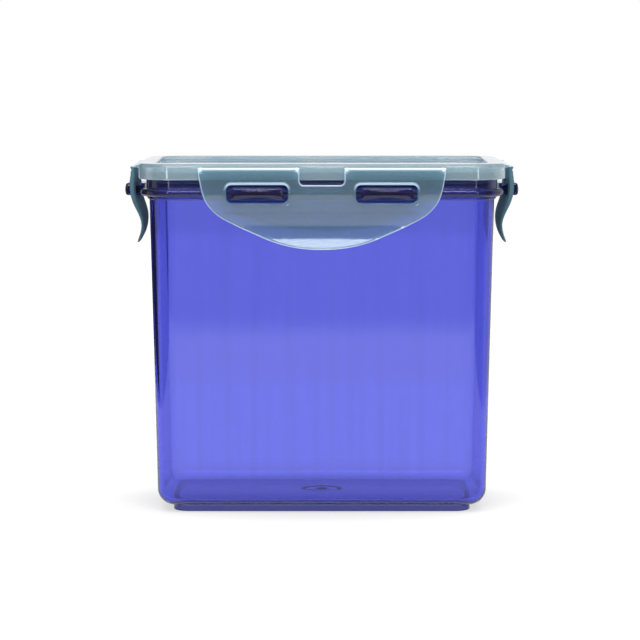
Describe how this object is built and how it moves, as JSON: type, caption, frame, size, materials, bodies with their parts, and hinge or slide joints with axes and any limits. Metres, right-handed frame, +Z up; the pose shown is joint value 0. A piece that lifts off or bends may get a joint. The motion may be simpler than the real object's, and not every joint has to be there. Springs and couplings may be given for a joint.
{
  "type": "food canister",
  "caption": "Tall rectangular food canister with a gasketed lid held by hinged locking flaps on all sides.",
  "frame": {"origin": "centre of the foot ring's underside", "axes": "+Z up, +X along the width, the front long side faces -Y"},
  "size_m": [0.1698, 0.0976, 0.15],
  "materials": {
    "body_plastic": "clear glossy violet, translucent",
    "lid_plastic": "clear glossy grey-teal, translucent",
    "flap_plastic": "clear glossy grey-teal, translucent",
    "hinge_film": "thin flexed film of the lid plastic",
    "seal_silicone": "soft milky silicone"
  },
  "bodies": {
    "container": {"container_body": "body_plastic"},
    "lid": {"lid_panel": "lid_plastic", "seal_ring": "seal_silicone", "front_hinge_left": "hinge_film", "front_hinge_right": "hinge_film", "back_hinge_left": "hinge_film", "back_hinge_right": "hinge_film", "left_hinge": "hinge_film", "right_hinge": "hinge_film"},
    "front_latch": {"front_flap": "flap_plastic"},
    "back_latch": {"back_flap": "flap_plastic"},
    "left_latch": {"left_flap": "flap_plastic"},
    "right_latch": {"right_flap": "flap_plastic"}
  },
  "joints": [
    {"name": "lid_lift", "type": "slide", "parent": "container", "child": "lid", "axis": [0, 0, 1], "range_m": [0, 0.2]},
    {"name": "front_flap_hinge", "type": "hinge", "parent": "lid", "child": "front_latch", "pos_m": [0, -0.0442, 0.14855], "axis": [-1, 0, 0], "range_deg": [0, 160], "deforming": ["front_hinge_left", "front_hinge_right"]},
    {"name": "back_flap_hinge", "type": "hinge", "parent": "lid", "child": "back_latch", "pos_m": [0, 0.0442, 0.14855], "axis": [1, 0, 0], "range_deg": [0, 160], "deforming": ["back_hinge_left", "back_hinge_right"]},
    {"name": "left_flap_hinge", "type": "hinge", "parent": "lid", "child": "left_latch", "pos_m": [-0.0803, 0, 0.14855], "axis": [0, 1, 0], "range_deg": [0, 160], "deforming": ["left_hinge"]},
    {"name": "right_flap_hinge", "type": "hinge", "parent": "lid", "child": "right_latch", "pos_m": [0.0803, 0, 0.14855], "axis": [0, -1, 0], "range_deg": [0, 160], "deforming": ["right_hinge"]}
  ]
}
